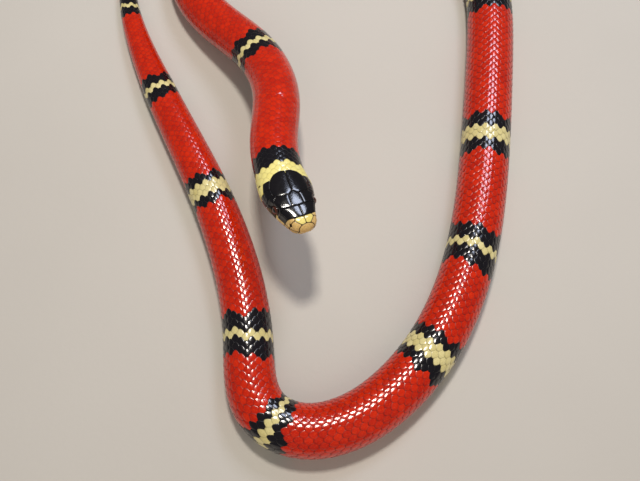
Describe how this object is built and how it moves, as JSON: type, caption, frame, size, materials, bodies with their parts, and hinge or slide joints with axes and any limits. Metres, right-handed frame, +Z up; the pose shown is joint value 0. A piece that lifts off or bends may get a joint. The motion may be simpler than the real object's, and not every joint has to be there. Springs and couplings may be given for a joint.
{
  "type": "milk snake",
  "caption": "Milk snake lying belly down in a loose open coil with its head and neck lifted: red body with black and cream rings, black cap and yellow nape band.",
  "frame": {"origin": "bottom centre of the bounding box, on the floor inside the coil", "axes": "+Z up, -Y the way the head points, +X towards the animal's left at its head"},
  "size_m": [0.1412, 0.2185, 0.0364],
  "materials": {
    "body_scales": "smooth glossy scales, red with black and cream rings",
    "head_scales": "glossy black head plates",
    "jaw_scales": "satin yellow lip and chin scales",
    "eye": "wet dark eye under a clear spectacle"
  },
  "bodies": {
    "root": {"head": "head_scales", "lower_jaw": "jaw_scales", "eye_left": "eye", "eye_right": "eye", "neck": "body_scales", "trunk_1": "body_scales", "trunk_2": "body_scales", "trunk_3": "body_scales", "trunk_4": "body_scales", "trunk_5": "body_scales", "trunk_6": "body_scales", "trunk_7": "body_scales", "trunk_8": "body_scales", "trunk_9": "body_scales", "tail_base": "body_scales", "tail_tip": "body_scales"}
  },
  "joints": []
}
